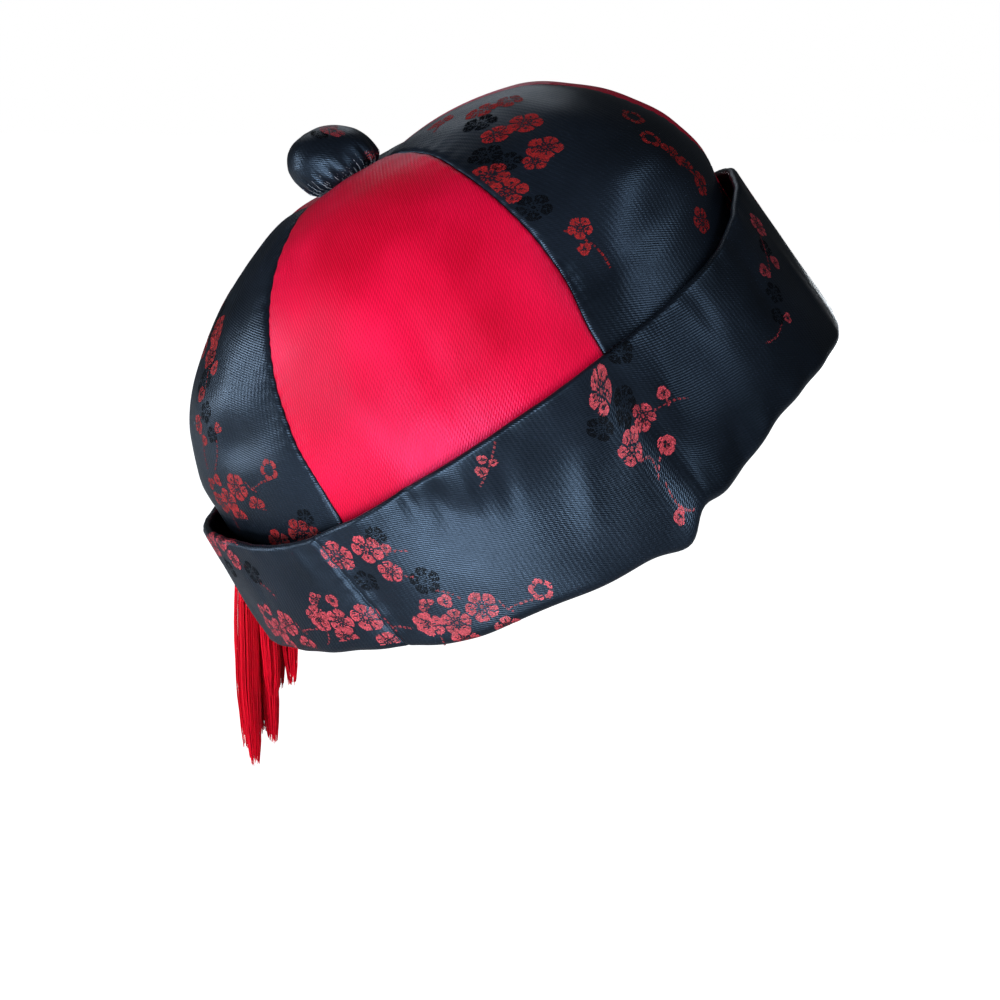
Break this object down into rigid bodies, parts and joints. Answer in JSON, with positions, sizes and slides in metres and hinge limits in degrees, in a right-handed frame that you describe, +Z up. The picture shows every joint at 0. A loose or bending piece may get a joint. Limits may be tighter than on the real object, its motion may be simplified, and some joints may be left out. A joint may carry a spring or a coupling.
{
  "type": "skullcap",
  "caption": "Skullcap of alternating red satin and black plum-blossom brocade gores, with a turned-up brocade cuff, a covered top button and a red thread tassel at the back.",
  "frame": {"origin": "middle of the head opening, at the foot of the crown", "axes": "+Z up as worn, -Y the front of the cap, +X the wearer's left; the cap's own axis leans back 32.4 degrees and 6.3 degrees to the wearer's right"},
  "size_m": [0.1781, 0.2029, 0.2443],
  "materials": {
    "brocade": "black satin brocade with red and black blossoms",
    "red_satin": "crimson satin",
    "tassel_thread": "crimson silky thread"
  },
  "bodies": {
    "root": {"gore_back_right": "brocade", "gore_right": "red_satin", "gore_front_right": "brocade", "gore_front_left": "red_satin", "gore_left": "brocade", "gore_back_left": "red_satin", "cuff": "brocade", "button": "brocade", "tassel": "tassel_thread", "tassel_loop": "tassel_thread"}
  },
  "joints": []
}
